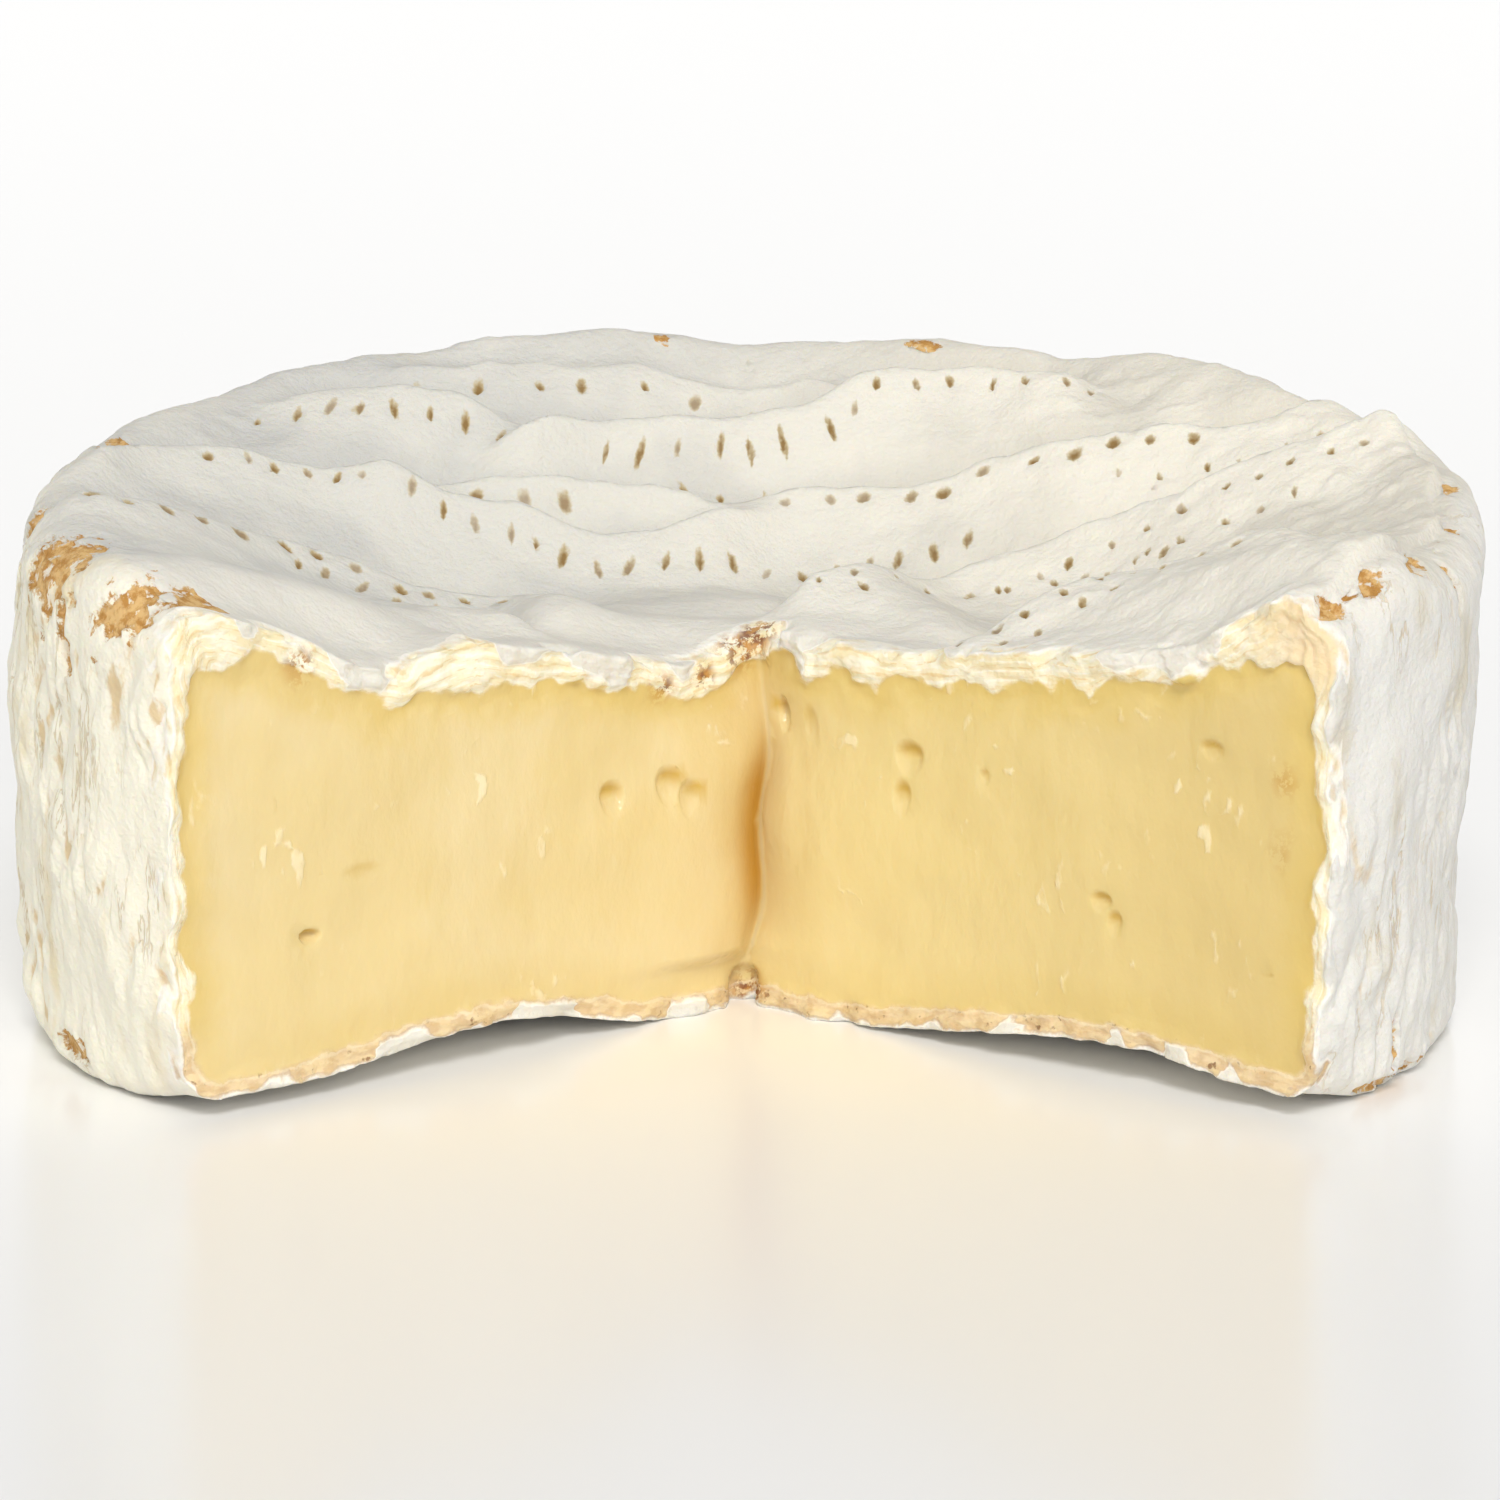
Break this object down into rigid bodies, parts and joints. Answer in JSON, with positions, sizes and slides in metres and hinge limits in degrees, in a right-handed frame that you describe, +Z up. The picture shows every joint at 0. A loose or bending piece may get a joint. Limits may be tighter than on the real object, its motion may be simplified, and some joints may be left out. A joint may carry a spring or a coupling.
{
  "type": "cheese wheel",
  "caption": "Small bloomy-rind soft cheese wheel with a wide wedge cut out, showing the pale yellow paste inside the white rind.",
  "frame": {"origin": "on the surface the wheel rests on, below the middle of its bounding box", "axes": "+Z up through the wheel's thickness, and the missing wedge opens towards -Y"},
  "size_m": [0.107, 0.0878, 0.0402],
  "materials": {
    "rind": "matt white mould rind, cream and tan where it is rubbed or torn",
    "paste": "moist pale yellow soft cheese"
  },
  "bodies": {
    "root": {"cheese_wheel": "rind"}
  },
  "joints": []
}
